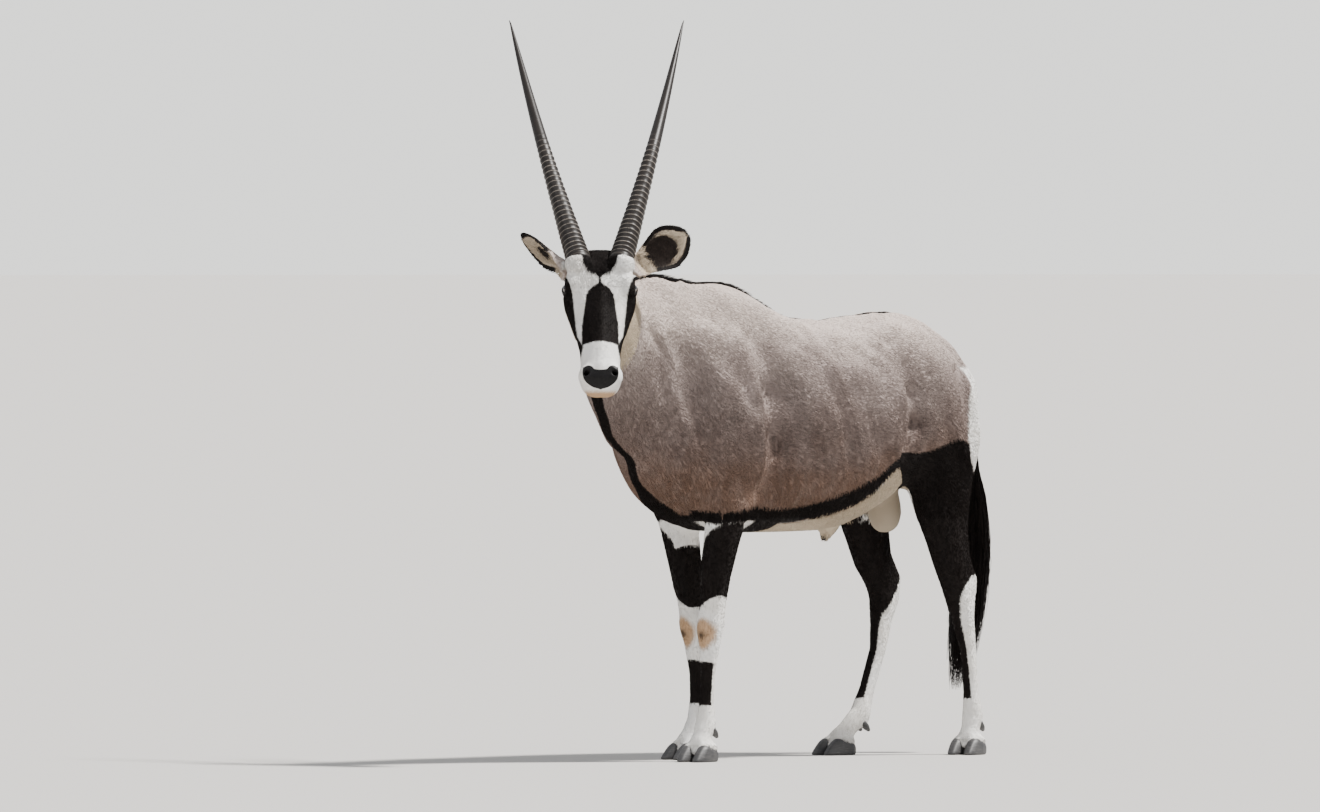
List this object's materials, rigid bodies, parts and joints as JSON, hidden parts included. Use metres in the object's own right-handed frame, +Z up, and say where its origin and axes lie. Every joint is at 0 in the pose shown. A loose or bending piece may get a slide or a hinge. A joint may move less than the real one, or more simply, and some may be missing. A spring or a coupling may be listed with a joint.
{
  "type": "standing gemsbok bull",
  "caption": "Life-size standing antelope with long straight ringed horns, head turned to its left, cloven hooves flat on the floor.",
  "frame": {"origin": "on the floor, in the middle of the footprint of the whole animal's bounding box", "axes": "+Z up, the animal faces -Y, its left side is +X"},
  "size_m": [0.754, 1.592, 1.886],
  "materials": {
    "coat": "short smooth hair, fawn-grey with black-brown and white markings",
    "horn": "ringed keratin, dull below and polished towards the tips",
    "hoof": "hard grey-black keratin, scuffed",
    "eye": "wet dark brown",
    "bare_skin": "thin-haired cream skin",
    "tail_hair": "long coarse black hair"
  },
  "bodies": {
    "root": {"head": "coat", "neck": "coat", "trunk": "coat", "tail": "coat", "tail_hair": "tail_hair", "ear_left": "coat", "ear_right": "coat", "eye_left": "eye", "eye_right": "eye", "horn_left": "horn", "horn_right": "horn", "foreleg_left": "coat", "foreleg_right": "coat", "hindleg_left": "coat", "hindleg_right": "coat", "sheath": "coat", "scrotum": "bare_skin", "foreleg_left_claw_left": "hoof", "foreleg_left_claw_right": "hoof", "foreleg_left_dewclaw_left": "hoof", "foreleg_left_dewclaw_right": "hoof", "foreleg_right_claw_left": "hoof", "foreleg_right_claw_right": "hoof", "foreleg_right_dewclaw_left": "hoof", "foreleg_right_dewclaw_right": "hoof", "hindleg_left_claw_left": "hoof", "hindleg_left_claw_right": "hoof", "hindleg_left_dewclaw_left": "hoof", "hindleg_left_dewclaw_right": "hoof", "hindleg_right_claw_left": "hoof", "hindleg_right_claw_right": "hoof", "hindleg_right_dewclaw_left": "hoof", "hindleg_right_dewclaw_right": "hoof"}
  },
  "joints": []
}
